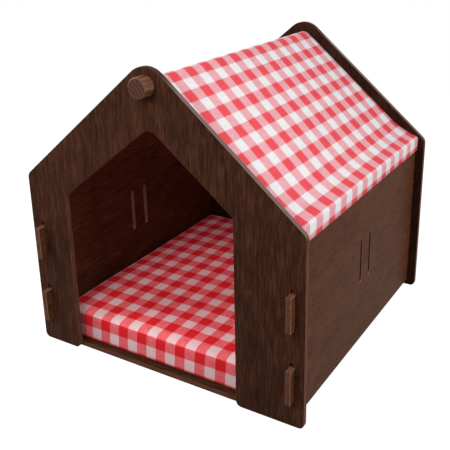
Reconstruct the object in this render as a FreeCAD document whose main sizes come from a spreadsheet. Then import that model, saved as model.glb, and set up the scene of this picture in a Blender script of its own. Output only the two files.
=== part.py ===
"""Slot-together pet house of veneered boards, with a cloth roof over a ridge rod and a box cushion.

The origin is on the ground below the middle of the house. X runs across it, the doorway faces -Y and +Z is up.
All sizes are in millimetres and degrees.
"""
import FreeCAD, Part
import math
import os

import Sketcher

Vector = FreeCAD.Vector

SIZES = {
    # Gabled front and back panels; the apex height is where the two slopes would meet without rounding
    "panel_width": 400,
    "eave_height": 240,
    "apex_height": 408,
    "house_depth": 394,
    "board_thickness": 6.5,
    "apex_radius": 30,
    "eave_radius": 12,
    "foot_radius": 7,
    # Doorway, wider to the left of the ridge than to the right of it
    "door_left": 138,
    "door_right": 110,
    "door_drop": 78,
    "door_slope": 38.3,
    "door_apex_radius": 17,
    "door_corner_radius": 10,
    # Side panels, which hang in the slots of the gabled panels by hooked tabs
    "side_setback": 12.5,
    "side_lift": 8,
    "side_rise": 3,
    "tab_length": 44,
    "tab_reach": 10,
    "hook_drop": 6,
    "lower_tab_height": 34,
    "upper_tab_height": 126,
    "fit_gap": 0.25,
    "slot_corner_radius": 2.5,
    "vent_width": 6,
    "vent_length": 62,
    "vent_height": 97,
    "vent_spacing": 29,
    "vent_offset": 5,
    "vent_corner_radius": 2.5,
    # Ridge rod, held by a turned knob on each end
    "rod_diameter": 12,
    "rod_drop": 30.5,
    "rod_clearance": 0.07,
    "rod_chamfer": 1,
    "knob_diameter": 25,
    "knob_length": 16.3,
    "knob_bore_depth": 11,
    "knob_chamfer": 1.5,
    # Roof cloth and the tape that holds its hem
    "cloth_thickness": 0.8,
    "cloth_gap": 0.3,
    "cloth_end_gap": 1.5,
    "eave_angle": 17,
    "eave_flare": 45,
    "fold_radius": 1,
    "hem_height": 19.5,
    "tape_thickness": 0.6,
    "tape_width": 13,
    "tape_end_gap": 8,
    # Box cushion
    "cushion_height": 40,
    "cushion_swell": 2,
    "cushion_crown": 4,
    "cushion_corner_radius": 12,
    "cushion_edge_radius": 8,
    "cushion_side_gap": 1,
    "cushion_front_gap": 8,
    "cushion_back_gap": 4,
}

# Places that several pieces share, as expressions of the sizes
HALF_WIDTH = "Sizes.panel_width / 2"
SIDE_OUTER = f"({HALF_WIDTH} - Sizes.side_setback)"
SIDE_INNER = f"({SIDE_OUTER} - Sizes.board_thickness)"
SIDE_TOP = "(Sizes.eave_height + Sizes.side_rise)"
END_OUTER = "Sizes.house_depth / 2"
END_INNER = f"({END_OUTER} - Sizes.board_thickness)"
DOOR_APEX = "(Sizes.apex_height - Sizes.door_drop)"
ROD_HEIGHT = "(Sizes.apex_height - Sizes.rod_drop)"
ROD_BORE = "Sizes.rod_diameter + 2 * Sizes.rod_clearance"
TAB_HEIGHTS = ("Sizes.lower_tab_height", "Sizes.upper_tab_height")

doc = FreeCAD.newDocument("PetHouse")
sheet = doc.addObject("Spreadsheet::Sheet", "Sizes")
for row, (alias, number) in enumerate(SIZES.items(), start=1):
    sheet.set(f"A{row}", alias)
    sheet.set(f"B{row}", str(number))
    sheet.setAlias(f"B{row}", alias)
doc.recompute()


def size(alias):
    return float(sheet.get(alias))


def new_body(name):
    body = doc.addObject("PartDesign::Body", name)
    body.Label = name
    return body


def new_sketch(body, name, role):
    sketch = body.newObject("Sketcher::SketchObject", name)
    plane = next(item for item in body.Origin.OriginFeatures if item.Role == role)
    sketch.AttachmentSupport = [(plane, "")]
    sketch.MapMode = "FlatFace"
    return sketch


def fix_point(sketch, geometry, point, across, up):
    """Hold a point at two expressions, measured from the sketch's origin along its two axes."""
    upright_axis = -2
    level_axis = -1
    for kind, axis, place in (("DistanceX", upright_axis, across), ("DistanceY", level_axis, up)):
        if place == "0":
            sketch.addConstraint(Sketcher.Constraint("PointOnObject", geometry, point, axis))
        else:
            index = sketch.addConstraint(Sketcher.Constraint(kind, -1, 1, geometry, point, 1.0))
            sketch.setExpression(f"Constraints[{index}]", place)


def add_outline(sketch, corners):
    """Add a closed outline of straight lines, each corner a pair of expressions."""
    first = sketch.GeometryCount
    count = len(corners)
    turns = [2 * math.pi * step / count for step in range(count + 1)]
    spread = [Vector(math.cos(turn), math.sin(turn), 0) * 100 for turn in turns]
    for start, end in zip(spread, spread[1:]):
        sketch.addGeometry(Part.LineSegment(start, end))
    for step in range(count):
        following = first + (step + 1) % count
        sketch.addConstraint(Sketcher.Constraint("Coincident", first + step, 2, following, 1))
    for step, (across, up) in enumerate(corners):
        fix_point(sketch, first + step, 1, across, up)


def add_circle(sketch, across, up, diameter):
    circle = sketch.addGeometry(Part.Circle(Vector(0, 100, 0), Vector(0, 0, 1), 10))
    fix_point(sketch, circle, 3, across, up)
    index = sketch.addConstraint(Sketcher.Constraint("Diameter", circle, 20.0))
    sketch.setExpression(f"Constraints[{index}]", diameter)


def pad(body, sketch, length, backwards=False):
    board = body.newObject("PartDesign::Pad", f"{sketch.Name}_pad")
    board.Profile = sketch
    board.setExpression("Length", length)
    board.Reversed = backwards
    doc.recompute()
    return board


def cut(body, base, sketch, backwards=False, depth=None):
    """Cut a sketch out of a body, right through it unless a depth is given as an expression."""
    pocket = body.newObject("PartDesign::Pocket", f"{sketch.Name}_cut")
    pocket.Profile = sketch
    pocket.Reversed = backwards
    if depth is None:
        pocket.Type = "ThroughAll"
    else:
        pocket.setExpression("Length", depth)
    doc.recompute()
    if pocket.Shape.Volume > base.Shape.Volume - 1:
        raise RuntimeError(f"{pocket.Name} cuts nothing")
    return pocket


def round_corners(body, base, sketch, numbers, radius):
    """Round the edges that stand on the numbered corners of a sketch."""
    corners = [sketch.Placement.multVec(sketch.Geometry[number].StartPoint) for number in numbers]
    across = sketch.Placement.Rotation.multVec(Vector(0, 0, 1))
    names = []
    for number, edge in enumerate(base.Shape.Edges, start=1):
        ends = [vertex.Point for vertex in edge.Vertexes]
        run = ends[-1] - ends[0]
        if run.Length > 0 and run.cross(across).Length < 1e-6:
            if any((ends[0] - corner).cross(across).Length < 1e-3 for corner in corners):
                names.append(f"Edge{number}")
    fillet = body.newObject("PartDesign::Fillet", f"{sketch.Name}_round{base.Name}")
    fillet.Base = (base, names)
    fillet.setExpression("Radius", radius)
    doc.recompute()
    return fillet


def gabled_panel(name, with_doorway):
    """A pentagonal end board: rounded outline, slots for the tabs, rod hole and, in front, the doorway."""
    body = new_body(name)
    outline = new_sketch(body, f"{name}_outline", "XZ_Plane")
    add_outline(outline, [
        (f"-{HALF_WIDTH}", "0"),
        (HALF_WIDTH, "0"),
        (HALF_WIDTH, "Sizes.eave_height"),
        ("0", "Sizes.apex_height"),
        (f"-{HALF_WIDTH}", "Sizes.eave_height"),
    ])
    tip = pad(body, outline, "Sizes.board_thickness", backwards=True)
    tip = round_corners(body, tip, outline, [0, 1], "Sizes.foot_radius")
    tip = round_corners(body, tip, outline, [2, 4], "Sizes.eave_radius")
    tip = round_corners(body, tip, outline, [3], "Sizes.apex_radius")
    if with_doorway:
        tip = cut_doorway(body, tip, name)

    # The tabs bear on the outer wall of their slots, and each slot has a routed, rounded top
    slots = new_sketch(body, f"{name}_slots", "XZ_Plane")
    slot_tops = []
    for side in ("-", ""):
        near = f"{side}({SIDE_INNER} - Sizes.fit_gap)"
        far = f"{side}{SIDE_OUTER}"
        for tab in TAB_HEIGHTS:
            seat = f"({tab} + Sizes.hook_drop)"
            top = f"({seat} + Sizes.tab_length + Sizes.fit_gap)"
            add_outline(slots, [(near, seat), (far, seat), (far, top), (near, top)])
            slot_tops += [slots.GeometryCount - 2, slots.GeometryCount - 1]
    doc.recompute()
    tip = cut(body, tip, slots)
    tip = round_corners(body, tip, slots, slot_tops, "Sizes.slot_corner_radius")

    bore = new_sketch(body, f"{name}_bore", "XZ_Plane")
    add_circle(bore, "0", ROD_HEIGHT, ROD_BORE)
    doc.recompute()
    cut(body, tip, bore)
    return body


def cut_doorway(body, base, name):
    doorway = new_sketch(body, f"{name}_doorway", "XZ_Plane")
    left = "-Sizes.door_left"
    right = "Sizes.door_right"
    below_ground = "-Sizes.foot_radius"
    add_outline(doorway, [
        (left, below_ground),
        (right, below_ground),
        (right, f"{DOOR_APEX} - Sizes.door_right * tan(Sizes.door_slope)"),
        ("0", DOOR_APEX),
        (left, f"{DOOR_APEX} - Sizes.door_left * tan(Sizes.door_slope)"),
    ])
    feet = new_sketch(body, f"{name}_door_feet", "XZ_Plane")
    add_outline(feet, [(left, "0"), (right, "0"), ("0", "Sizes.foot_radius")])
    doc.recompute()
    tip = cut(body, base, doorway)
    tip = round_corners(body, tip, doorway, [2, 4], "Sizes.door_corner_radius")
    tip = round_corners(body, tip, doorway, [3], "Sizes.door_apex_radius")
    return round_corners(body, tip, feet, [0, 1], "Sizes.foot_radius")


def hooked_edge(sign):
    """Corners of one upright edge of a side panel, from the bottom up, with its two hooked tabs."""
    inner = f"{sign}{END_INNER}"
    neck = f"{sign}({END_OUTER} + Sizes.fit_gap)"
    end = f"{sign}({END_OUTER} + Sizes.tab_reach)"
    corners = [(inner, "Sizes.side_lift")]
    for hook in TAB_HEIGHTS:
        seat = f"{hook} + Sizes.hook_drop"
        top = f"{hook} + Sizes.tab_length"
        corners += [(inner, seat), (neck, seat), (neck, hook), (end, hook), (end, top), (inner, top)]
    corners.append((inner, SIDE_TOP))
    return corners


def side_panel(name, sign):
    """A side board with hooked tabs on both upright edges and two vent slots.

    Both sides are the same board, one of them turned round, so the vents are off the middle opposite ways.
    """
    body = new_body(name)
    outline = new_sketch(body, f"{name}_outline", "YZ_Plane")
    add_outline(outline, hooked_edge("-") + hooked_edge("")[::-1])
    tip = pad(body, outline, "Sizes.board_thickness")

    vents = new_sketch(body, f"{name}_vents", "YZ_Plane")
    bottom = "Sizes.vent_height"
    top = "Sizes.vent_height + Sizes.vent_length"
    turned = "" if sign > 0 else "-"
    for side in ("-", "+"):
        middle = f"{turned}Sizes.vent_offset {side} Sizes.vent_spacing / 2"
        near = f"{middle} - Sizes.vent_width / 2"
        far = f"{middle} + Sizes.vent_width / 2"
        add_outline(vents, [(near, bottom), (far, bottom), (far, top), (near, top)])
    doc.recompute()
    tip = cut(body, tip, vents, backwards=True)
    round_corners(body, tip, vents, range(vents.GeometryCount), "Sizes.vent_corner_radius")
    body.setExpression("Placement.Base.x", SIDE_INNER if sign > 0 else f"-{SIDE_OUTER}")
    return body


def chamfer_rims(body, base, width, depths):
    """Chamfer the circular edges of a turned piece that lie at the given depths along Y."""
    rims = []
    for number, edge in enumerate(base.Shape.Edges, start=1):
        if isinstance(edge.Curve, Part.Circle):
            if any(abs(edge.Curve.Center.y - depth) < 1e-3 for depth in depths):
                rims.append(f"Edge{number}")
    chamfer = body.newObject("PartDesign::Chamfer", f"{base.Name}_rims")
    chamfer.Base = (base, rims)
    chamfer.setExpression("Size", width)
    doc.recompute()
    return chamfer


def ridge_rod():
    """A plain rod through both gabled panels, each end reaching into a knob."""
    body = new_body("ridge_rod")
    section = new_sketch(body, "ridge_rod_section", "XZ_Plane")
    add_circle(section, "0", ROD_HEIGHT, "Sizes.rod_diameter")
    doc.recompute()
    rod = pad(body, section, "Sizes.house_depth + 2 * Sizes.knob_bore_depth", backwards=True)
    chamfer_rims(body, rod, "Sizes.rod_chamfer", (0, rod.Length.Value))
    body.setExpression("Placement.Base.y", f"-({END_OUTER} + Sizes.knob_bore_depth)")
    return body


def rod_knob(name, sign):
    """A turned knob with a blind bore for the rod, just clear of the panel's outer face."""
    body = new_body(name)
    section = new_sketch(body, f"{name}_section", "XZ_Plane")
    add_circle(section, "0", ROD_HEIGHT, "Sizes.knob_diameter")
    doc.recompute()
    knob = pad(body, section, "Sizes.knob_length")
    tip = chamfer_rims(body, knob, "Sizes.knob_chamfer", (-knob.Length.Value,))
    bore = new_sketch(body, f"{name}_bore", "XZ_Plane")
    add_circle(bore, "0", ROD_HEIGHT, ROD_BORE)
    doc.recompute()
    cut(body, tip, bore, backwards=True, depth="Sizes.knob_bore_depth + Sizes.fit_gap")
    half_turn = 180 if sign > 0 else 0
    body.Placement.Rotation = FreeCAD.Rotation(Vector(0, 0, 1), half_turn)
    side = "" if sign > 0 else "-"
    body.setExpression("Placement.Base.y", f"{side}({END_OUTER} + Sizes.fit_gap)")
    return body


def block(name, lengths, corner):
    """A plain box from its three lengths and its lowest corner, all as expressions."""
    box = doc.addObject("Part::Box", name)
    box.Label = name
    for side, length in zip(("Length", "Width", "Height"), lengths):
        box.setExpression(side, length)
    for axis, place in zip("xyz", corner):
        box.setExpression(f"Placement.Base.{axis}", place)
    return box


def floor_panel():
    half_x = f"({SIDE_INNER} - Sizes.fit_gap)"
    half_y = f"({END_INNER} - Sizes.fit_gap)"
    return block("floor_panel", (f"2 * {half_x}", f"2 * {half_y}", "Sizes.board_thickness"),
                 (f"-{half_x}", f"-{half_y}", "0"))


def tape_strip(name, sign, depth_out):
    """One strip of hook or loop tape, its nearer face at a depth outside the side panel's outer face."""
    half_length = f"({END_INNER} - Sizes.tape_end_gap)"
    near = f"({SIDE_OUTER} + {depth_out})"
    x = near if sign > 0 else f"-({near} + Sizes.tape_thickness)"
    z = f"{SIDE_TOP} - (Sizes.hem_height + Sizes.tape_width) / 2"
    return block(name, ("Sizes.tape_thickness", f"2 * {half_length}", "Sizes.tape_width"),
                 (x, f"-{half_length}", z))


def solid(name, shape):
    feature = doc.addObject("Part::Feature", name)
    feature.Label = name
    feature.Shape = shape
    return feature


def outward(angle):
    """Unit vector square to a cloth that falls at this angle, on its upper side."""
    return Vector(math.sin(angle), 0, math.cos(angle))


def roof_cover():
    """The cloth: over the rod, down a straight slope that flares out at the eave, and folded into a hem."""
    side_outer = size("panel_width") / 2 - size("side_setback")
    side_top = size("eave_height") + size("side_rise")
    tapes = 2 * size("tape_thickness") + size("cloth_gap")
    fold_radius = size("fold_radius")
    eave_angle = math.radians(size("eave_angle"))
    flare = size("eave_flare")
    thickness = size("cloth_thickness")
    ridge = Vector(0, 0, size("apex_height") - size("rod_drop"))
    ridge_radius = size("rod_diameter") / 2 + size("cloth_gap")

    # The cloth just clears the outer top edge of the side panel before it folds down
    fold = Vector(side_outer + tapes - fold_radius, 0, 0)
    past_edge = fold.x + fold_radius * math.sin(eave_angle) - side_outer
    edge_clear = side_top + size("cloth_gap")
    fold.z = edge_clear - past_edge * math.tan(eave_angle) - fold_radius * math.cos(eave_angle)
    flare_end = fold + outward(eave_angle) * fold_radius

    # The slope is tangent to the ridge arc and to the flare, so its angle is found by repeated steps
    reach = (flare_end - ridge).Length
    fall = math.asin((ridge.z - flare_end.z) / reach)
    slope = fall
    for step in range(30):
        rise = flare * math.tan((slope - eave_angle) / 2)
        slope = fall + math.asin((ridge_radius + rise) / reach)
    turn = slope - eave_angle
    flare_radius = flare / math.cos(turn / 2) / (2 * math.sin(turn / 2))
    flare_centre = flare_end + outward(eave_angle) * flare_radius
    hem_bottom = side_top - size("hem_height")

    def half_surface(offset):
        """Edges of the right half, from the ridge to the hem's lower edge, at an offset from the inside."""
        over_rod = ridge_radius + offset
        top = ridge + Vector(0, 0, over_rod)
        over = ridge + outward(slope / 2) * over_rod
        slope_start = ridge + outward(slope) * over_rod
        slope_end = flare_centre - outward(slope) * (flare_radius - offset)
        flared = flare_centre - outward((slope + eave_angle) / 2) * (flare_radius - offset)
        fold_start = flare_centre - outward(eave_angle) * (flare_radius - offset)
        folded = fold + outward((eave_angle + math.pi / 2) / 2) * (fold_radius + offset)
        fold_end = fold + Vector(fold_radius + offset, 0, 0)
        hem_end = Vector(fold_end.x, 0, hem_bottom)
        curves = [
            Part.Arc(top, over, slope_start),
            Part.LineSegment(slope_start, slope_end),
            Part.Arc(slope_end, flared, fold_start),
            Part.Arc(fold_start, folded, fold_end),
            Part.LineSegment(fold_end, hem_end),
        ]
        return [curve.toShape() for curve in curves], hem_end

    inside, inside_end = half_surface(0)
    outside, outside_end = half_surface(thickness)
    half = inside + outside + [Part.LineSegment(inside_end, outside_end).toShape()]
    mirrored = [edge.mirror(Vector(0, 0, 0), Vector(1, 0, 0)) for edge in half]
    profile = Part.Face(Part.Wire(Part.__sortEdges__(half + mirrored)))
    half_length = size("house_depth") / 2 - size("board_thickness") - size("cloth_end_gap")
    profile.translate(Vector(0, -half_length, 0))
    return solid("roof_cover", profile.extrude(Vector(0, 2 * half_length, 0)))


def cushion_form(inset):
    """The pillowed block of the cushion, drawn in by an inset from its outside."""
    half_x = size("panel_width") / 2 - size("side_setback") - size("board_thickness") - size("cushion_side_gap")
    inner_end = size("house_depth") / 2 - size("board_thickness")
    front = -inner_end + size("cushion_front_gap")
    back = inner_end - size("cushion_back_gap")
    floor_top = size("board_thickness") + size("cloth_gap")
    height = size("cushion_height")
    edge = size("cushion_edge_radius")
    swell = size("cushion_swell")
    crown = size("cushion_crown")
    corner = size("cushion_corner_radius")
    crown_run = min(half_x, (back - front) / 2) - edge - swell - 2 * corner

    # Height above the cushion's underside and how far the outline is drawn in there: a rounded lower edge,
    # sides that swell a little to mid-height, a rounded upper edge and a crowned top
    turns = [math.radians(angle) for angle in (0, 30, 60)]
    layers = [(edge * (1 - math.cos(turn)), swell + edge * (1 - math.sin(turn))) for turn in turns]
    layers += [(edge, swell), (height / 2, 0), (height - edge, swell)]
    layers += [(height - level, drawn_in) for level, drawn_in in reversed(layers[:len(turns)])]
    layers += [(height + crown * math.sin(step * math.pi / 2), swell + edge + step * crown_run)
               for step in (0.25, 0.5, 1)]
    total = height + crown
    sections = []
    for level, drawn_in in layers:
        z = floor_top + inset + level * (total - 2 * inset) / total
        step = drawn_in + inset
        outline = (-half_x + step, half_x - step, front + step, back - step)
        sections.append(rounded_rectangle(*outline, corner - inset, z))
    return Part.makeLoft(sections, True, True)


def rounded_rectangle(left, right, front, back, radius, z):
    middle = Vector((left + right) / 2, (front + back) / 2, z)
    half_x = (right - left) / 2
    half_y = (back - front) / 2
    edges = []
    for quarter in range(4):
        spin = FreeCAD.Rotation(Vector(0, 0, 1), 90 * quarter)
        along, out = (half_x, half_y) if quarter % 2 else (half_y, half_x)
        start = Vector(out, radius - along, 0)
        end = Vector(out, along - radius, 0)
        centre = Vector(out - radius, along - radius, 0)
        bulge = centre + Vector(1, 1, 0).normalize() * radius
        corner_end = centre + Vector(0, radius, 0)
        points = [middle + spin.multVec(point) for point in (start, end, bulge, corner_end)]
        edges.append(Part.LineSegment(points[0], points[1]).toShape())
        edges.append(Part.Arc(points[1], points[2], points[3]).toShape())
    return Part.Wire(edges)


def cushion():
    """The gingham cover as a thin shell, and the foam block that fills it."""
    cloth = size("cloth_thickness")
    cover = cushion_form(0).cut(cushion_form(cloth))
    return [
        solid("cushion_cover", cover),
        solid("cushion_core", cushion_form(cloth + size("cloth_gap"))),
    ]


front = gabled_panel("front_panel", with_doorway=True)
front.setExpression("Placement.Base.y", f"-{END_OUTER}")
back = gabled_panel("back_panel", with_doorway=False)
back.setExpression("Placement.Base.y", END_INNER)
pieces = [front, back, floor_panel(), ridge_rod(), rod_knob("front_knob", -1), rod_knob("back_knob", 1)]
for side, sign in (("right", 1), ("left", -1)):
    pieces.append(side_panel(f"{side}_side_panel", sign))
    pieces.append(tape_strip(f"{side}_hook_strip", sign, "0"))
    pieces.append(tape_strip(f"{side}_loop_strip", sign, "Sizes.tape_thickness + Sizes.cloth_gap"))
pieces.append(roof_cover())
pieces += cushion()
doc.recompute()

for item in doc.Objects:
    if "Invalid" in item.State or "Error" in item.State:
        raise RuntimeError(f"{item.Label} failed: {item.State}")
for piece in pieces:
    if piece.Shape.isNull() or not piece.Shape.isValid():
        raise RuntimeError(f"{piece.Label} has no valid shape")

os.makedirs("parts", exist_ok=True)
for piece in pieces:
    piece.Shape.exportStep(f"parts/{piece.Label}.step")
    print(piece.Label, len(piece.Shape.Solids), round(piece.Shape.Volume))
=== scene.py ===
"""A slot-together pet house of dark walnut boards, with a gingham roof cloth and a box cushion.

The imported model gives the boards, rod, knobs and tapes. The two sewn pieces are made here in their place.
"""
import math

import bmesh
import bpy
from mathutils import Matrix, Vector, noise


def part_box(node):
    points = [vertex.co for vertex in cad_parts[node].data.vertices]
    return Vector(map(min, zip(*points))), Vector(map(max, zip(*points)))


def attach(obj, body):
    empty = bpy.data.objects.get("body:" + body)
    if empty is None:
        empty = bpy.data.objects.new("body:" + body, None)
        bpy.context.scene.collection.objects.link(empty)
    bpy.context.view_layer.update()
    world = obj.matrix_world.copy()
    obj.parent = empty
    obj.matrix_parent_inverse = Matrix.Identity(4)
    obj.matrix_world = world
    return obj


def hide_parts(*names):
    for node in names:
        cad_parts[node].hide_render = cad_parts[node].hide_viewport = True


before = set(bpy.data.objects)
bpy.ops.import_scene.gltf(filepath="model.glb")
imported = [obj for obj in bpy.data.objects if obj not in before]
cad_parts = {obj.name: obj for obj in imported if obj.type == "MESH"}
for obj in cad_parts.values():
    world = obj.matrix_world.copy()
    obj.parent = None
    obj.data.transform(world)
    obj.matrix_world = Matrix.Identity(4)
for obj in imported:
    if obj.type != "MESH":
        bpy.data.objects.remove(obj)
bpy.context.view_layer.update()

# Five boards of 6.5 mm plywood, faced with walnut veneer that is stained dark and lacquered satin. The
# gabled ends have upright grain, and the sides, which hang in their slots by hooked tabs, level grain. The
# floor board lies loose between them. Sawn edges take the stain less evenly and are eased with sandpaper.

# Veneer from its dark streaks to its warm ones. The sides get a lighter copy of it, which is painted light,
# and the back a darker copy, which is painted shade.
DARK_SHEET = ("#29170f", "#3a2116", "#503022")
PAINTED_SHADE_SHEET = ("#21120b", "#2f1a11", "#42271b")
PAINTED_LIGHT_SHEET = ("#3d2214", "#4e2e1d", "#603926")
BOARDS = {
    # Directions of the grain and of the thickness, veneer, width of the eased corners, share of scuffing
    # and painted highlight on them
    "floor_panel": ("X", "Z", DARK_SHEET, 0.0003, 0.2),
    "front_panel": ("Z", "Y", DARK_SHEET, 0.0003, 0.3),
    "back_panel": ("Z", "Y", PAINTED_SHADE_SHEET, 0.0003, 0.3),
    "left_side_panel": ("Y", "X", PAINTED_LIGHT_SHEET, 0.0005, 1.0),
    "right_side_panel": ("Y", "X", PAINTED_LIGHT_SHEET, 0.0005, 1.0),
}
SAWN_EDGE_DARK = "#482b1f"
SAWN_EDGE_LIGHT = "#684232"
# Painted sheen: grey for the sawn slope edges that face up
PAINTED_SHEEN_EDGE = "#6a5a56"
# Lighter eased corners: partly scuffed stain, partly a painted highlight
WORN_AND_HIGHLIT_CORNER = "#9a7360"
# Colour that the gable's top edges darken towards near the apex
APEX_EDGE_DARK = "#33211a"
# Heights between which the gable's top edge darkens
APEX_DARK_FROM = 0.372
APEX_DARK_TO = 0.392
# Marks of the veneer, in millimetres across the grain and along it, with detail and distortion. Pores are
# 0.2 mm wide on real walnut and are drawn 1.1 mm wide so that they show.
VENEER_MARKS = {
    "figure": (30, 160, 3, 1.0),
    "cloud": (14, 26, 3, 0.6),
    "streak": (2.0, 24, 5, 0.4),
    "pore": (1.1, 8, 2, 0.0),
}
FIGURE_WEIGHT = 0.35
CLOUD_WEIGHT = 0.4
# Sums of the weighted marks at which the veneer is darkest and lightest
DARKEST_MARK = 0.66
LIGHTEST_MARK = 1.09
PORE_DARKNESS = 0.64
# Share of the painted grey sheen on those slope edges
SLOPE_SHEEN_SHARE = 0.95
SATIN_SMOOTH = 0.42
SATIN_ROUGH = 0.55
GRAIN_RELIEF = 0.3
GRAIN_DEPTH = 0.0003
# Satin lacquer over a dark stain mirrors little of the white studio
BOARD_GLOSS = 0.02
# Corners that turn by more than this are eased, and faces within a degree of flat are joined before
SHARP_CORNER = math.radians(40)
FLAT_FACE = math.radians(1)
SAME_POINT = 0.00001


def linear(code):
    """The linear colour of an sRGB hex code."""
    shares = [int(code[place:place + 2], 16) / 255 for place in (1, 3, 5)]
    return [share / 12.92 if share <= 0.04045 else ((share + 0.055) / 1.055) ** 2.4
            for share in shares] + [1.0]


def add_node(tree, kind, inputs=None, **settings):
    """Add a node with its settings; an input is a value, or the socket of another node to link."""
    node = tree.nodes.new(kind)
    for name, value in settings.items():
        setattr(node, name, value)
    for name, value in (inputs or {}).items():
        if isinstance(value, bpy.types.NodeSocket):
            tree.links.new(value, node.inputs[name])
        else:
            node.inputs[name].default_value = value
    return node


def new_material(name):
    """An empty node material with its shader and output, and the node tree."""
    material = bpy.data.materials.new(name)
    material.use_nodes = True
    tree = material.node_tree
    tree.nodes.clear()
    shader = add_node(tree, "ShaderNodeBsdfPrincipled")
    add_node(tree, "ShaderNodeOutputMaterial", {"Surface": shader.outputs["BSDF"]})
    return material, tree, shader


def stretched(grain, across, along):
    """Scale for a pattern whose marks are so many millimetres across the grain and along it."""
    return [1000 / (along if axis == grain else across) for axis in "XYZ"]


def ramp(node, stops):
    """Set a colour ramp's stops as pairs of place and hex code."""
    elements = node.color_ramp.elements
    while len(elements) < len(stops):
        elements.new(0.5)
    for element, (place, code) in zip(elements, stops):
        element.position = place
        element.color = linear(code)


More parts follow.
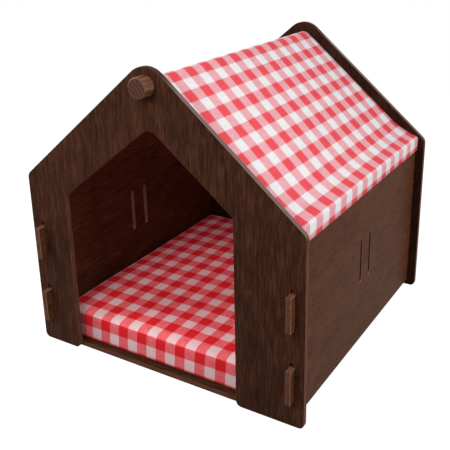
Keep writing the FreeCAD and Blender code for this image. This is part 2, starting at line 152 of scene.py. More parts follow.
def walnut_veneer(name, grain, through, sheet, scuff_and_highlight_share):
    """Stained walnut veneer, satin: drifting figure, clouds of stain, fine streaks and dark pores."""
    material, tree, shader = new_material(name)
    place = add_node(tree, "ShaderNodeTexCoord")
    layers = {}
    for layer, (across, along, detail, distortion) in VENEER_MARKS.items():
        turned = add_node(tree, "ShaderNodeMapping", {
            "Vector": place.outputs["Object"], "Scale": stretched(grain, across, along)})
        layers[layer] = add_node(tree, "ShaderNodeTexNoise", {
            "Vector": turned.outputs["Vector"], "Scale": 1.0, "Detail": detail, "Roughness": 0.6,
            "Distortion": distortion}).outputs["Fac"]
    broad = add_node(tree, "ShaderNodeMath", {0: layers["figure"], 1: FIGURE_WEIGHT, 2: layers["streak"]},
                     operation="MULTIPLY_ADD")
    mixed = add_node(tree, "ShaderNodeMath", {
        0: layers["cloud"], 1: CLOUD_WEIGHT, 2: broad.outputs["Value"]}, operation="MULTIPLY_ADD")
    tone = add_node(tree, "ShaderNodeMapRange", {
        "Value": mixed.outputs["Value"], "From Min": DARKEST_MARK, "From Max": LIGHTEST_MARK})
    face = add_node(tree, "ShaderNodeValToRGB", {"Fac": tone.outputs["Result"]})
    ramp(face, list(zip((0.0, 0.5, 1.0), sheet)))
    pores = add_node(tree, "ShaderNodeMapRange", {
        "Value": layers["pore"], "From Min": 0.30, "From Max": 0.46, "To Min": PORE_DARKNESS})
    pored = add_node(tree, "ShaderNodeMix", {
        "Factor": 1.0, "A": face.outputs["Color"], "B": pores.outputs["Result"]},
        data_type="RGBA", blend_type="MULTIPLY")

    # The sawn edges of the two slopes are painted grey where they face up, a painted sheen, and the gable's
    # edges darken towards its top
    edge = add_node(tree, "ShaderNodeValToRGB", {"Fac": layers["streak"]})
    ramp(edge, [(0.35, SAWN_EDGE_DARK), (0.65, SAWN_EDGE_LIGHT)])
    facing = add_node(tree, "ShaderNodeSeparateXYZ", {"Vector": place.outputs["Normal"]})
    sideways = add_node(tree, "ShaderNodeMath", {0: facing.outputs["X"]}, operation="ABSOLUTE")
    sloping = add_node(tree, "ShaderNodeMath", {0: sideways.outputs["Value"], 1: facing.outputs["Z"]},
                       operation="MULTIPLY")
    # Painted sheen: slope edges that face up turn grey
    painted_sheen_mask = add_node(tree, "ShaderNodeMapRange", {
        "Value": sloping.outputs["Value"], "From Min": 0.15, "From Max": 0.45, "To Max": SLOPE_SHEEN_SHARE})
    sheen_painted = add_node(tree, "ShaderNodeMix", {
        "Factor": painted_sheen_mask.outputs["Result"], "A": edge.outputs["Color"], "B": linear(PAINTED_SHEEN_EDGE)},
        data_type="RGBA")
    spot = add_node(tree, "ShaderNodeSeparateXYZ", {"Vector": place.outputs["Object"]})
    apex_mask = add_node(tree, "ShaderNodeMapRange", {
        "Value": spot.outputs["Z"], "From Min": APEX_DARK_FROM, "From Max": APEX_DARK_TO})
    apex_darkened = add_node(tree, "ShaderNodeMix", {
        "Factor": apex_mask.outputs["Result"], "A": sheen_painted.outputs["Result"], "B": linear(APEX_EDGE_DARK)},
        data_type="RGBA")
    square = add_node(tree, "ShaderNodeMath", {0: facing.outputs[through]}, operation="ABSOLUTE")
    is_face = add_node(tree, "ShaderNodeMapRange", {
        "Value": square.outputs["Value"], "From Min": 0.55, "From Max": 0.85})
    both = add_node(tree, "ShaderNodeMix", {
        "Factor": is_face.outputs["Result"], "A": apex_darkened.outputs["Result"], "B": pored.outputs["Result"]},
        data_type="RGBA")
    # The eased corners, where the surface turns from a face to an edge, are lighter: partly scuffed stain,
    # partly a painted highlight. The share is 4 a (1 - a) of the squared slant a: none on a face or an
    # edge, all of it half-way.
    level = add_node(tree, "ShaderNodeMath", {0: square.outputs["Value"], 1: square.outputs["Value"]},
                     operation="MULTIPLY")
    between = add_node(tree, "ShaderNodeMath", {0: level.outputs["Value"], 1: -4.0, 2: 4.0},
                       operation="MULTIPLY_ADD")
    corner = add_node(tree, "ShaderNodeMath", {0: level.outputs["Value"], 1: between.outputs["Value"]},
                      operation="MULTIPLY", use_clamp=True)
    corner_light_share = add_node(tree, "ShaderNodeMath", {0: corner.outputs["Value"], 1: scuff_and_highlight_share},
                          operation="MULTIPLY")
    corner_lightened = add_node(tree, "ShaderNodeMix", {
        "Factor": corner_light_share.outputs["Value"], "A": both.outputs["Result"], "B": linear(WORN_AND_HIGHLIT_CORNER)},
        data_type="RGBA")
    tree.links.new(corner_lightened.outputs["Result"], shader.inputs["Base Color"])

    rough = add_node(tree, "ShaderNodeMapRange", {
        "Value": layers["streak"], "From Min": 0.3, "From Max": 0.7,
        "To Min": SATIN_SMOOTH, "To Max": SATIN_ROUGH})
    tree.links.new(rough.outputs["Result"], shader.inputs["Roughness"])
    height = add_node(tree, "ShaderNodeMath", {0: layers["streak"], 1: 0.4, 2: pores.outputs["Result"]},
                      operation="MULTIPLY_ADD")
    bump = add_node(tree, "ShaderNodeBump", {
        "Height": height.outputs["Value"], "Strength": GRAIN_RELIEF, "Distance": GRAIN_DEPTH})
    tree.links.new(bump.outputs["Normal"], shader.inputs["Normal"])
    shader.inputs["Specular IOR Level"].default_value = BOARD_GLOSS
    return material


def ease_edges(node, width):
    """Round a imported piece's sharp edges a little, as sandpaper does."""
    node.modifiers.new("joined", "WELD").merge_threshold = SAME_POINT
    flat = node.modifiers.new("flat_faces", "DECIMATE")
    flat.decimate_type = "DISSOLVE"
    flat.angle_limit = FLAT_FACE
    eased = node.modifiers.new("eased_edges", "BEVEL")
    eased.width = width
    eased.segments = 2
    eased.limit_method = "ANGLE"
    eased.angle_limit = SHARP_CORNER
    eased.use_clamp_overlap = False
    eased.loop_slide = False
    eased.harden_normals = True


for board, (grain, through, sheet, corner_width, scuff_and_highlight_share) in BOARDS.items():
    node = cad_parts[board]
    node.data.materials.clear()
    node.data.materials.append(walnut_veneer(f"walnut_veneer_{board}", grain, through, sheet, scuff_and_highlight_share))
    ease_edges(node, corner_width)

# A 12 mm rod joins the two gables at the ridge and carries the cloth. A turned knob on each end keeps it in
# its holes. All three are solid walnut, stained like the boards and a little lighter on the turned sides.
TURNED_DARK = "#482d20"
TURNED_LIGHT = "#7a5240"
END_GRAIN_DARK = "#412920"
END_GRAIN_LIGHT = "#4f342a"
KNOB_EASED_EDGE = 0.0004
# Fibres, in millimetres across the grain and along it
FIBRE_MARKS = (2.0, 60)
# Rings about 5 mm apart, shifted so that their heart lies outside the knob
RING_SPACING = 0.005
RING_SHIFT = (0.02, 0.0, -0.36)
FIBRE_RELIEF = 0.25
KNOB_ROUGHNESS = 0.4
KNOB_GLOSS = 0.05


def turned_walnut(name):
    """Solid walnut: long fibres on the turned side and growth rings on the sawn ends."""
    material, tree, shader = new_material(name)
    place = add_node(tree, "ShaderNodeTexCoord")
    long_marks = add_node(tree, "ShaderNodeMapping", {
        "Vector": place.outputs["Object"], "Scale": stretched("Y", *FIBRE_MARKS)})
    fibre = add_node(tree, "ShaderNodeTexNoise", {
        "Vector": long_marks.outputs["Vector"], "Scale": 1.0, "Detail": 4.0, "Roughness": 0.6})
    side = add_node(tree, "ShaderNodeValToRGB", {"Fac": fibre.outputs["Fac"]})
    ramp(side, [(0.35, TURNED_DARK), (0.68, TURNED_LIGHT)])
    rings_place = add_node(tree, "ShaderNodeMapping", {
        "Vector": place.outputs["Object"], "Location": RING_SHIFT})
    # The wave texture turns through 20 radians in a unit
    rings = add_node(tree, "ShaderNodeTexWave", {
        "Vector": rings_place.outputs["Vector"], "Scale": 2 * math.pi / RING_SPACING / 20,
        "Distortion": 3.0, "Detail": 3.0}, wave_type="RINGS", rings_direction="Y")
    end = add_node(tree, "ShaderNodeValToRGB", {"Fac": rings.outputs["Fac"]})
    ramp(end, [(0.2, END_GRAIN_DARK), (0.9, END_GRAIN_LIGHT)])
    facing = add_node(tree, "ShaderNodeSeparateXYZ", {"Vector": place.outputs["Normal"]})
    square = add_node(tree, "ShaderNodeMath", {0: facing.outputs["Y"]}, operation="ABSOLUTE")
    is_end = add_node(tree, "ShaderNodeMapRange", {
        "Value": square.outputs["Value"], "From Min": 0.8, "From Max": 0.95})
    both = add_node(tree, "ShaderNodeMix", {
        "Factor": is_end.outputs["Result"], "A": side.outputs["Color"], "B": end.outputs["Color"]},
        data_type="RGBA")
    tree.links.new(both.outputs["Result"], shader.inputs["Base Color"])
    bump = add_node(tree, "ShaderNodeBump", {
        "Height": fibre.outputs["Fac"], "Strength": FIBRE_RELIEF, "Distance": GRAIN_DEPTH})
    tree.links.new(bump.outputs["Normal"], shader.inputs["Normal"])
    shader.inputs["Roughness"].default_value = KNOB_ROUGHNESS
    shader.inputs["Specular IOR Level"].default_value = KNOB_GLOSS
    return material


knob_wood = turned_walnut("turned_walnut")
for turned in ("ridge_rod", "front_knob", "back_knob"):
    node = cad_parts[turned]
    node.data.materials.clear()
    node.data.materials.append(knob_wood)
    ease_edges(node, KNOB_EASED_EDGE)

# Touch tape holds the hem down: a strip of nylon hooks glued along the top of each side board, and a strip
# of nylon loops sewn inside the hem. They show only when the roof cloth is lifted off.
TAPE_COLOURS = {"hook": ("#2a2320", "#453a35"), "loop": ("#d9d5cf", "#f1eeea")}
# Real hooks are 1.2 mm apart; they are drawn a little coarser to show
HOOK_SPACING = 0.0016
HOOK_HEIGHT = 0.0004
TAPE_RELIEF = 0.6
TAPE_ROUGHNESS = 0.7


def touch_tape(name, dark, light):
    """Woven nylon tape with rows of hooks or loops, which give it a dull nap."""
    material, tree, shader = new_material(name)
    place = add_node(tree, "ShaderNodeTexCoord")
    tufts = add_node(tree, "ShaderNodeTexVoronoi", {
        "Vector": place.outputs["Object"], "Scale": 1 / HOOK_SPACING, "Randomness": 0.35})
    colour = add_node(tree, "ShaderNodeValToRGB", {"Fac": tufts.outputs["Distance"]})
    ramp(colour, [(0.1, light), (0.6, dark)])
    tree.links.new(colour.outputs["Color"], shader.inputs["Base Color"])
    bump = add_node(tree, "ShaderNodeBump", {
        "Height": tufts.outputs["Distance"], "Strength": TAPE_RELIEF, "Distance": HOOK_HEIGHT},
        invert=True)
    tree.links.new(bump.outputs["Normal"], shader.inputs["Normal"])
    shader.inputs["Roughness"].default_value = TAPE_ROUGHNESS
    return material


for tape, (dark, light) in TAPE_COLOURS.items():
    nylon = touch_tape(f"nylon_{tape}_tape", dark, light)
    for side in ("left", "right"):
        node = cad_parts[f"{side}_{tape}_strip"]
        node.data.materials.clear()
        node.data.materials.append(nylon)

# The roof is one rectangle of gingham cotton. It lies over the rod, runs straight down both slopes, flares
# out over the side boards and folds down into a hem. It is drawn tight, so it has only slight waves.
rod_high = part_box("ridge_rod")[1]
side_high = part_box("right_side_panel")[1]
roof_low, roof_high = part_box("roof_cover")
CLOTH = 0.0008
CLOTH_GAP = 0.0003
EAVE_ANGLE = math.radians(17)
FLARE = 0.045
# The cotton is too stiff to follow the thin rod, so it bends over it in a wider round
RIDGE_RADIUS = 0.0125
FOLD_RADIUS = 0.0035
ROOF_CELLS_ALONG = 60
# Waves stand out by up to this much, grow over the first 50 mm from the ridge, and are 60 by 90 mm large
WAVE = 0.0009
WAVE_GROWTH = 0.05
WAVE_ACROSS = 0.06
WAVE_ALONG = 0.09
WAVE_SEED = 0.7
ROOF_CHECK_DOWN = 0.01584
ROOF_CHECK_ALONG = 0.01642
ROOF_RED_DOWN = 0.0091
ROOF_RED_ALONG = -0.1542
ROOF_SKEW = 0.099
# From the flare on the cloth is eased in, so its checks are a little shorter there
EAVE_GATHER = 0.064
# The cut ends reach almost to the gables
END_REACH = 0.0011
# White, mixed and red checks
ROOF_COLOURS = ("#f3f5f5", "#f1bac2", "#f25761")
LIGHT_THROUGH_CLOTH = 0.47
PALER_BEHIND = 0.5
# A yarn's colour changes over about 0.8 mm
YARN_BLUR = 0.0008
# Twill ribs show where the two yarns differ. Real ribs are 0.6 mm apart, drawn at 2.2 mm so that they show.
RIB_SPACING = 0.0022
RIB_STRENGTH = 0.24
# Dye takes unevenly over some 6 mm
DYE_SPOT = 0.006
DYE_UNEVEN = 0.6
# Slubs, thicker stretches of yarn, shade the cloth a little; drawn 2.2 mm wide, four times as wide as real
SLUB_WIDTH = 0.0022
SLUB_LENGTH = 0.012
SLUB_SHADE = 0.9
COTTON_ROUGHNESS = 0.85
COTTON_RELIEF = 0.2
COTTON_DEPTH = 0.0003
COTTON_GLOSS = 0.1
COTTON_SHEEN = 0.05
TANGENT_STEPS = 30


def gingham(name, colours, pitch_u, pitch_v, red_u, red_v):
    """Woven cotton gingham: red and white yarns both ways give red, white and mixed pink checks.

    The map is the cut cloth in metres. Pitches are two checks long, and a red check is centred at
    (red_u, red_v). The cotton is matt, with a slight nap.
    """
    material, tree, shader = new_material(name)
    cloth = add_node(tree, "ShaderNodeUVMap", uv_map="cut_cloth")
    flat = add_node(tree, "ShaderNodeSeparateXYZ", {"Vector": cloth.outputs["UV"]})
    stripes = []
    for axis, pitch, centre in (("X", pitch_u, red_u), ("Y", pitch_v, red_v)):
        turn = 2 * math.pi / pitch
        phase = add_node(tree, "ShaderNodeMath", {0: flat.outputs[axis], 1: turn, 2: -centre * turn},
                         operation="MULTIPLY_ADD")
        wave = add_node(tree, "ShaderNodeMath", {0: phase.outputs["Value"]}, operation="COSINE")
        stripe = add_node(tree, "ShaderNodeMath", {
            0: wave.outputs["Value"], 1: 1 / (turn * YARN_BLUR), 2: 0.5},
            operation="MULTIPLY_ADD", use_clamp=True)
        stripes.append(stripe.outputs["Value"])
    slant = add_node(tree, "ShaderNodeMath", {0: flat.outputs["X"], 1: flat.outputs["Y"]}, operation="ADD")
    rib_phase = add_node(tree, "ShaderNodeMath", {0: slant.outputs["Value"], 1: 2 * math.pi / RIB_SPACING},
                         operation="MULTIPLY")
    ribs = add_node(tree, "ShaderNodeMath", {0: rib_phase.outputs["Value"]}, operation="SINE")
    both = add_node(tree, "ShaderNodeMath", {0: stripes[0], 1: stripes[1]}, operation="ADD")
    differ = add_node(tree, "ShaderNodeMath", {0: stripes[0], 1: stripes[1]}, operation="SUBTRACT")
    mixed = add_node(tree, "ShaderNodeMath", {0: differ.outputs["Value"]}, operation="ABSOLUTE")
    dye = add_node(tree, "ShaderNodeTexNoise", {
        "Vector": cloth.outputs["UV"], "Scale": 1 / DYE_SPOT, "Detail": 3.0})
    uneven = add_node(tree, "ShaderNodeMath", {0: dye.outputs["Fac"], 1: DYE_UNEVEN, 2: -DYE_UNEVEN / 2},
                      operation="MULTIPLY_ADD")
    yarn = add_node(tree, "ShaderNodeMath", {
        0: ribs.outputs["Value"], 1: RIB_STRENGTH, 2: uneven.outputs["Value"]}, operation="MULTIPLY_ADD")
    share = add_node(tree, "ShaderNodeMath", {
        0: mixed.outputs["Value"], 1: yarn.outputs["Value"], 2: both.outputs["Value"]},
        operation="MULTIPLY_ADD")
    half = add_node(tree, "ShaderNodeMath", {0: share.outputs["Value"], 1: 0.5}, operation="MULTIPLY")
    colour = add_node(tree, "ShaderNodeValToRGB", {"Fac": half.outputs["Value"]})
    ramp(colour, list(zip((0.0, 0.5, 1.0), colours)))
    slub_place = add_node(tree, "ShaderNodeMapping", {
        "Vector": cloth.outputs["UV"], "Scale": (1 / SLUB_WIDTH, 1 / SLUB_LENGTH, 1.0)})
    slubs = add_node(tree, "ShaderNodeTexNoise", {
        "Vector": slub_place.outputs["Vector"], "Scale": 1.0, "Detail": 3.0})
    shade = add_node(tree, "ShaderNodeMapRange", {
        "Value": slubs.outputs["Fac"], "From Min": 0.3, "From Max": 0.7, "To Min": SLUB_SHADE})
    shaded = add_node(tree, "ShaderNodeMix", {
        "Factor": 1.0, "A": colour.outputs["Color"], "B": shade.outputs["Result"]},
        data_type="RGBA", blend_type="MULTIPLY")
    tree.links.new(shaded.outputs["Result"], shader.inputs["Base Color"])
    height = add_node(tree, "ShaderNodeMath", {0: ribs.outputs["Value"], 1: 0.3, 2: slubs.outputs["Fac"]},
                      operation="MULTIPLY_ADD")
    bump = add_node(tree, "ShaderNodeBump", {
        "Height": height.outputs["Value"], "Strength": COTTON_RELIEF, "Distance": COTTON_DEPTH})
    tree.links.new(bump.outputs["Normal"], shader.inputs["Normal"])
    shader.inputs["Roughness"].default_value = COTTON_ROUGHNESS
    shader.inputs["Specular IOR Level"].default_value = COTTON_GLOSS
    shader.inputs["Sheen Weight"].default_value = COTTON_SHEEN
    shader.inputs["Sheen Roughness"].default_value = 0.5
    return material, tree, shader, shaded.outputs["Result"]


def outward(angle):
    """Direction square to a cloth that falls at this angle, on its upper side."""
    return Vector((math.sin(angle), 0, math.cos(angle)))


# The outside of the right half, as runs of the cut cloth from the ridge to the hem's edge
ridge = Vector((0, 0, rod_high.z + CLOTH_GAP + CLOTH - RIDGE_RADIUS))
fold_outside = FOLD_RADIUS + CLOTH
fold = Vector((roof_high.x - fold_outside, 0, 0))
past_edge = fold.x + FOLD_RADIUS * math.sin(EAVE_ANGLE) - side_high.x
fold.z = side_high.z + CLOTH_GAP - past_edge * math.tan(EAVE_ANGLE) - FOLD_RADIUS * math.cos(EAVE_ANGLE)
flare_end = fold + outward(EAVE_ANGLE) * fold_outside
reach = (flare_end - ridge).length
fall = math.asin((ridge.z - flare_end.z) / reach)
# The slope is tangent to the ridge's round and to the flare, whose turn depends on the slope, so it is
# found by repeating
slope = fall
for step in range(TANGENT_STEPS):
    slope = fall + math.asin((RIDGE_RADIUS + FLARE * math.tan((slope - EAVE_ANGLE) / 2)) / reach)
flare_turn = slope - EAVE_ANGLE
flare_radius = FLARE / math.cos(flare_turn / 2) / (2 * math.sin(flare_turn / 2))
flare_centre = flare_end + outward(EAVE_ANGLE) * flare_radius
slope_start = ridge + outward(slope) * RIDGE_RADIUS
slope_end = flare_centre - outward(slope) * flare_radius
RUNS = [
    # Length of cloth and number of cells
    ("ridge", RIDGE_RADIUS * slope, 6),
    ("slope", (slope_end - slope_start).length, 24),
    ("flare", flare_radius * flare_turn, 12),
    ("fold", fold_outside * (math.pi / 2 - EAVE_ANGLE), 4),
    ("hem", fold.z - roof_low.z, 5),
]


def over_roof(down, bulge):
    """Where a point of the cloth lies, so far down from the ridge line, pushed out a little by a bulge."""
    left = down
    for name, length, cells in RUNS:
        if left <= length or name == "hem":
            break
        left -= length
    if name == "ridge":
        angle = left / RIDGE_RADIUS
        return ridge + outward(angle) * (RIDGE_RADIUS + bulge)
    if name == "slope":
        return slope_start.lerp(slope_end, left / length) + outward(slope) * bulge
    if name == "flare":
        return flare_centre - outward(slope - left / flare_radius) * (flare_radius - bulge)
    if name == "fold":
        return fold + outward(EAVE_ANGLE + left / fold_outside) * (fold_outside + bulge)
    return Vector((fold.x + fold_outside + bulge, 0, fold.z - left))


cut_width = 2 * sum(length for name, length, cells in RUNS)
cut_length = roof_high.y - roof_low.y + 2 * END_REACH
lines_down = [0.0]
for name, length, cells in RUNS:
    start = lines_down[-1]
    lines_down += [start + length * cell / cells for cell in range(1, cells + 1)]
sheet = bmesh.new()
bmesh.ops.create_grid(sheet, x_segments=1, y_segments=ROOF_CELLS_ALONG, size=0.5)
bmesh.ops.scale(sheet, vec=(cut_width, cut_length, 1), verts=sheet.verts)
bmesh.ops.translate(sheet, vec=(0, (roof_high.y + roof_low.y) / 2, 0), verts=sheet.verts)
for line in lines_down[:-1]:
    for across in {line, -line}:
        everything = sheet.verts[:] + sheet.edges[:] + sheet.faces[:]
        bmesh.ops.bisect_plane(sheet, geom=everything, plane_co=(across, 0, 0), plane_no=(1, 0, 0))
gather_start = sum(length for name, length, cells in RUNS[:2])
cut_cloth = sheet.loops.layers.uv.new("cut_cloth")
for face in sheet.faces:
    for loop in face.loops:
        flat = loop.vert.co
        gathered = math.copysign(EAVE_GATHER * max(0, abs(flat.x) - gather_start), flat.x)
        loop[cut_cloth].uv = (flat.x + gathered, flat.y + ROOF_SKEW * flat.x)
for vert in sheet.verts:
    flat = vert.co.copy()
    slack = min(1, abs(flat.x) / WAVE_GROWTH)
    swell = WAVE * slack * (0.5 + 0.5 * noise.noise((flat.x / WAVE_ACROSS, flat.y / WAVE_ALONG, WAVE_SEED)))
    place = over_roof(abs(flat.x), swell)
    vert.co = (math.copysign(place.x, flat.x) if flat.x else 0.0, flat.y, place.z)
bmesh.ops.recalc_face_normals(sheet, faces=sheet.faces)
if sum(face.normal.z for face in sheet.faces) < 0:
    bmesh.ops.reverse_faces(sheet, faces=sheet.faces)
for face in sheet.faces:
    face.smooth = True
roof_mesh = bpy.data.meshes.new("roof_cloth")
sheet.to_mesh(roof_mesh)
sheet.free()
roof = bpy.data.objects.new("roof_cloth", roof_mesh)
bpy.context.scene.collection.objects.link(roof)
woven = roof.modifiers.new("cloth_thickness", "SOLIDIFY")
woven.thickness = CLOTH
woven.offset = -1
roof_cotton, tree, shader, colour = gingham(
    "gingham_cotton_roof", ROOF_COLOURS, 2 * ROOF_CHECK_DOWN, 2 * ROOF_CHECK_ALONG,
    ROOF_RED_DOWN, ROOF_RED_ALONG)
# Daylight comes through a single layer of cotton and warms the inside of the house
paler = add_node(tree, "ShaderNodeMix", {"Factor": PALER_BEHIND, "A": colour, "B": (1, 1, 1, 1)},
                 data_type="RGBA")
through = add_node(tree, "ShaderNodeBsdfTranslucent", {"Color": paler.outputs["Result"]})
lit_through = add_node(tree, "ShaderNodeMixShader", {
    0: LIGHT_THROUGH_CLOTH, 1: shader.outputs["BSDF"], 2: through.outputs["BSDF"]})
tree.links.new(lit_through.outputs["Shader"], tree.nodes["Material Output"].inputs["Surface"])
roof_mesh.materials.append(roof_cotton)
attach(roof, "roof")
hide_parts("roof_cover")

# The cushion is a foam block in a gingham cover. The cloth of its top runs over the rounded upper edge and
# down the front without a seam; the seams are on the upright corners. It rests flat on the floor board.
cushion_low, cushion_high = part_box("cushion_cover")
# The cover bulges towards the doorway
FRONT_BULGE = 0.0035
# Room that the cover is given to swell into
SIDE_SLACK = 0.0006
FRONT_SLACK = 0.001
TOP_SLACK = 0.0015
CORNER_RADIUS = 0.008
EDGE_RADIUS = 0.0075
LOWER_EDGE_RADIUS = 0.003
ROUND_SEGMENTS = 4
# Towards the doorway the foam is pressed down a little
FRONT_DROP = 0.003
DROP_RUN = 0.09
CELL = 0.009
# The cover is blown up over its foam, with the weight and stiffness of a light cotton
PRESSURE = 4.0
SIM_FRAMES = 20
SWELL_CAP = 0.004
COTTON_MASS = 0.3
COTTON_STIFFNESS = 25
COTTON_BENDING = 2
# Size of a check, place of a white one, and how far the weave runs askew
CUSHION_CHECK_ACROSS = 0.01534
CUSHION_CHECK_ALONG = 0.0163
CUSHION_WHITE_ACROSS = 0.0065
CUSHION_WHITE_ALONG = -0.1775
CUSHION_SKEW = 0.0126
# The roof's gingham, painted darker and redder as painted shade inside the house
CUSHION_PAINTED_SHADE_COLOURS = ("#dfbcbc", "#e65962", "#d71923")
# The cloth is stretched a little down the sides. From 40 mm behind the front on, its weave leans sideways.
FACE_STRETCH = 0.95
FRONT_LEAN = 0.085
LEAN_RUN = 0.04

cover_low = cushion_low - Vector((0, FRONT_BULGE, 0))
core_low = cover_low + Vector((SIDE_SLACK, FRONT_SLACK, 0))
core_high = cushion_high - Vector((SIDE_SLACK, FRONT_SLACK, TOP_SLACK))
block = bmesh.new()
bmesh.ops.create_cube(block, size=1)
bmesh.ops.scale(block, vec=core_high - core_low, verts=block.verts)
bmesh.ops.translate(block, vec=(core_high + core_low) / 2, verts=block.verts)
upright = [edge for edge in block.edges if abs(edge.verts[0].co.z - edge.verts[1].co.z) > CELL]
bmesh.ops.bevel(block, geom=upright, offset=CORNER_RADIUS, offset_type="OFFSET", affect="EDGES",
                segments=ROUND_SEGMENTS, profile=0.5, material=-1)
for radius, side in ((EDGE_RADIUS, 1), (LOWER_EDGE_RADIUS, -1)):
    rims = [edge for edge in block.edges if any(face.normal.z * side > 0.9 for face in edge.link_faces)]
    bmesh.ops.bevel(block, geom=rims, offset=radius, offset_type="OFFSET", affect="EDGES",
                    segments=ROUND_SEGMENTS, profile=0.5, material=-1)
for axis in range(3):
    direction = Vector((axis == 0, axis == 1, axis == 2))
    inset = EDGE_RADIUS if axis == 2 else CORNER_RADIUS
    run = core_high[axis] - core_low[axis] - 2 * inset
    cells = max(1, round(run / CELL))
    for cell in range(1, cells):
        place = direction * (core_low[axis] + inset + run * cell / cells)
        everything = block.verts[:] + block.edges[:] + block.faces[:]
        bmesh.ops.bisect_plane(block, geom=everything, plane_co=place, plane_no=direction)


def unrolled(at, low, high, depth, radius):
    """How far along the cover a point is, over the top, round the edge and down the side."""
    for end, sign in ((low + radius, -1), (high - radius, 1)):
        past = (at - end) * sign
        if past > 0:
            level = radius - depth
            if level >= 0:
                return end + sign * radius * math.atan2(past, max(level, 1e-9))
            return end + sign * (radius * math.pi / 2 + (depth - radius) * FACE_STRETCH)
    return at


cut_cover = block.loops.layers.uv.new("cut_cloth")
for face in block.faces:
    front_or_back = abs(face.normal.y) >= abs(face.normal.x)
    upper = face.normal.z > 0.5
    for loop in face.loops:
        at = loop.vert.co
        depth = core_high.z - at.z
        across = at.x
        if upper or not front_or_back:
            across = unrolled(at.x, core_low.x, core_high.x, depth, EDGE_RADIUS)
        along = at.y
        if upper or front_or_back:
            along = unrolled(at.y, core_low.y, core_high.y, depth, EDGE_RADIUS)
        lean = FRONT_LEAN * max(0, core_low.y + LEAN_RUN - along)
        loop[cut_cover].uv = (across + lean + CUSHION_SKEW * along, along)
for face in block.faces:
    face.smooth = True
cushion_mesh = bpy.data.meshes.new("cushion")
block.to_mesh(cushion_mesh)
block.free()
cushion = bpy.data.objects.new("cushion", cushion_mesh)
bpy.context.scene.collection.objects.link(cushion)

# No point of the swelling cover moves further than the cap or out of the cushion's place
before = [vert.co.copy() for vert in cushion_mesh.vertices]
puffed = cushion.modifiers.new("puffed", "CLOTH")
puffed.settings.use_pressure = True
puffed.settings.uniform_pressure_force = PRESSURE
puffed.settings.quality = 6
puffed.settings.mass = COTTON_MASS
puffed.settings.tension_stiffness = COTTON_STIFFNESS
puffed.settings.compression_stiffness = COTTON_STIFFNESS
puffed.settings.bending_stiffness = COTTON_BENDING
puffed.settings.effector_weights.gravity = 0
puffed.point_cache.frame_start = 1
puffed.point_cache.frame_end = SIM_FRAMES
for step in range(1, SIM_FRAMES + 1):
    bpy.context.scene.frame_set(step)
shape = cushion.evaluated_get(bpy.context.evaluated_depsgraph_get())
after = [vert.co.copy() for vert in shape.data.vertices]
cushion.modifiers.remove(puffed)
bpy.context.scene.frame_set(1)
for vert, start, end in zip(cushion_mesh.vertices, before, after):
    move = end - start
    if move.length > SWELL_CAP:
        move.length = SWELL_CAP
    spot = start + move
    for axis in range(3):
        spot[axis] = min(max(spot[axis], cover_low[axis]), cushion_high[axis])
    vert.co = spot
for vert in cushion_mesh.vertices:
    nearness = max(0, 1 - (vert.co.y - cover_low.y) / DROP_RUN)
    rise = (vert.co.z - core_low.z) / (core_high.z - core_low.z)
    vert.co.z -= FRONT_DROP * nearness ** 2 * rise
smooth = cushion.modifiers.new("smooth", "SUBSURF")
smooth.levels = 1
smooth.render_levels = 1
cushion_cotton = gingham(
    "gingham_cotton_cushion", CUSHION_PAINTED_SHADE_COLOURS, 2 * CUSHION_CHECK_ACROSS, 2 * CUSHION_CHECK_ALONG,
    CUSHION_WHITE_ACROSS + CUSHION_CHECK_ACROSS + CUSHION_SKEW * CUSHION_WHITE_ALONG,
    CUSHION_WHITE_ALONG + CUSHION_CHECK_ALONG)[0]
cushion_mesh.materials.append(cushion_cotton)
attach(cushion, "cushion")
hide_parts("cushion_cover", "cushion_core")

# A plain pale paper floor and white surroundings, as in a product studio. The floor is white to the camera
# where it is lit, and darker in the object's shadow.
FLOOR_SIZE = 8.0
FLOOR_BELOW = 0.0005
FLOOR_PALE = "#787878"
FLOOR_GLOW = 0.9
FADE_FROM = 0.6
FADE_TO = 1.6
SURROUND_LIGHT = 0.12


def seen_rays(tree):
    """A socket that is 1 for what the camera sees, also mirrored or through glass, and 0 for other rays."""
    rays = add_node(tree, "ShaderNodeLightPath")
    mirrored = add_node(tree, "ShaderNodeMath", {
        0: rays.outputs["Is Glossy Ray"], 1: rays.outputs["Is Transmission Ray"]}, operation="ADD")
    seen = add_node(tree, "ShaderNodeMath", {
        0: rays.outputs["Is Camera Ray"], 1: mirrored.outputs["Value"]}, operation="ADD", use_clamp=True)
    return seen.outputs["Value"]


floor_mesh = bpy.data.meshes.new("studio_floor")
ground = bmesh.new()
bmesh.ops.create_grid(ground, x_segments=1, y_segments=1, size=FLOOR_SIZE / 2)
ground.to_mesh(floor_mesh)
ground.free()
floor = bpy.data.objects.new("studio_floor", floor_mesh)
floor.location.z = -FLOOR_BELOW
bpy.context.scene.collection.objects.link(floor)
paper = bpy.data.materials.new("studio_paper")
paper.use_nodes = True
tree = paper.node_tree
tree.nodes.clear()
matt = add_node(tree, "ShaderNodeBsdfDiffuse", {"Color": linear(FLOOR_PALE)})
seen = seen_rays(tree)
glow = add_node(tree, "ShaderNodeMath", {0: seen, 1: FLOOR_GLOW}, operation="MULTIPLY")
light = add_node(tree, "ShaderNodeEmission", {"Strength": glow.outputs["Value"]})
near = add_node(tree, "ShaderNodeAddShader", {0: matt.outputs["BSDF"], 1: light.outputs["Emission"]})
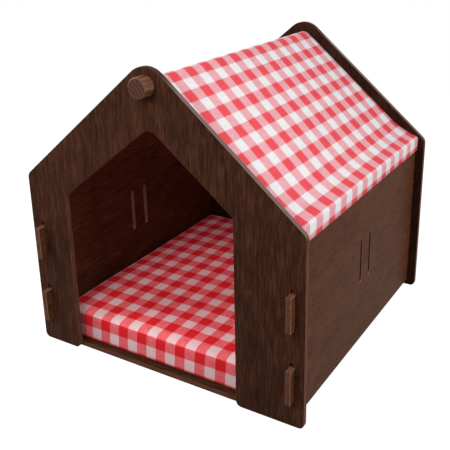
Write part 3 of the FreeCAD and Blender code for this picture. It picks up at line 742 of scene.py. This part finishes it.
# Further out the paper runs into the white surroundings without a horizon
spot = add_node(tree, "ShaderNodeTexCoord")
away = add_node(tree, "ShaderNodeVectorMath", {0: spot.outputs["Object"]}, operation="LENGTH")
fade = add_node(tree, "ShaderNodeMapRange", {
    "Value": away.outputs["Value"], "From Min": FADE_FROM, "From Max": FADE_TO},
    interpolation_type="SMOOTHSTEP")
faded = add_node(tree, "ShaderNodeMath", {0: fade.outputs["Result"], 1: seen}, operation="MULTIPLY")
white = add_node(tree, "ShaderNodeEmission", {"Strength": 1.0})
paper_all = add_node(tree, "ShaderNodeMixShader", {
    0: faded.outputs["Value"], 1: near.outputs["Shader"], 2: white.outputs["Emission"]})
add_node(tree, "ShaderNodeOutputMaterial", {"Surface": paper_all.outputs["Shader"]})
floor_mesh.materials.append(paper)

world = bpy.data.worlds.new("studio")
bpy.context.scene.world = world
world.use_nodes = True
tree = world.node_tree
tree.nodes.clear()
strength = add_node(tree, "ShaderNodeMapRange", {"Value": seen_rays(tree), "To Min": SURROUND_LIGHT})
sky = add_node(tree, "ShaderNodeBackground", {
    "Color": (1, 1, 1, 1), "Strength": strength.outputs["Result"]})
add_node(tree, "ShaderNodeOutputWorld", {"Surface": sky.outputs["Background"]})

# Four soft boxes: the strongest above and to the right, which lights the roof and the side, and weaker ones
# in front, on the left and behind
SOFT_BOXES = [
    # Name, place, power in watts, width
    ("key_softbox", (1.85, -0.3, 1.4), 45, 1.2),
    ("front_softbox", (0.0, -0.9, 0.8), 6.2, 0.5),
    ("left_softbox", (-1.1, -0.55, 0.9), 16, 0.8),
    ("back_softbox", (-0.25, 1.5, 0.6), 15, 0.8),
]
LIT_SPOT = Vector((0, 0, 0.2))
for name, place, power, width in SOFT_BOXES:
    lamp = bpy.data.lights.new(name, "AREA")
    lamp.energy = power
    lamp.size = width
    box = bpy.data.objects.new(name, lamp)
    box.location = place
    box.visible_camera = False
    box.rotation_euler = (LIT_SPOT - Vector(place)).to_track_quat("-Z", "Y").to_euler()
    bpy.context.scene.collection.objects.link(box)

# The camera stands where the photograph's did, found by fitting the edges of the boards. Its turn is given
# in degrees.
CAMERA_PLACE = (0.498, -0.80986, 0.55737)
CAMERA_TURN = (70.983, 0.107, 29.479)
CAMERA_LENS = 58.008
CAMERA_SHIFT = (-0.09, -0.14)
lens = bpy.data.cameras.new("camera")
lens.lens = CAMERA_LENS
lens.shift_x, lens.shift_y = CAMERA_SHIFT
camera = bpy.data.objects.new("camera", lens)
camera.location = CAMERA_PLACE
camera.rotation_euler = [math.radians(angle) for angle in CAMERA_TURN]
bpy.context.scene.collection.objects.link(camera)
bpy.context.scene.camera = camera
bpy.context.scene.view_settings.view_transform = "Standard"
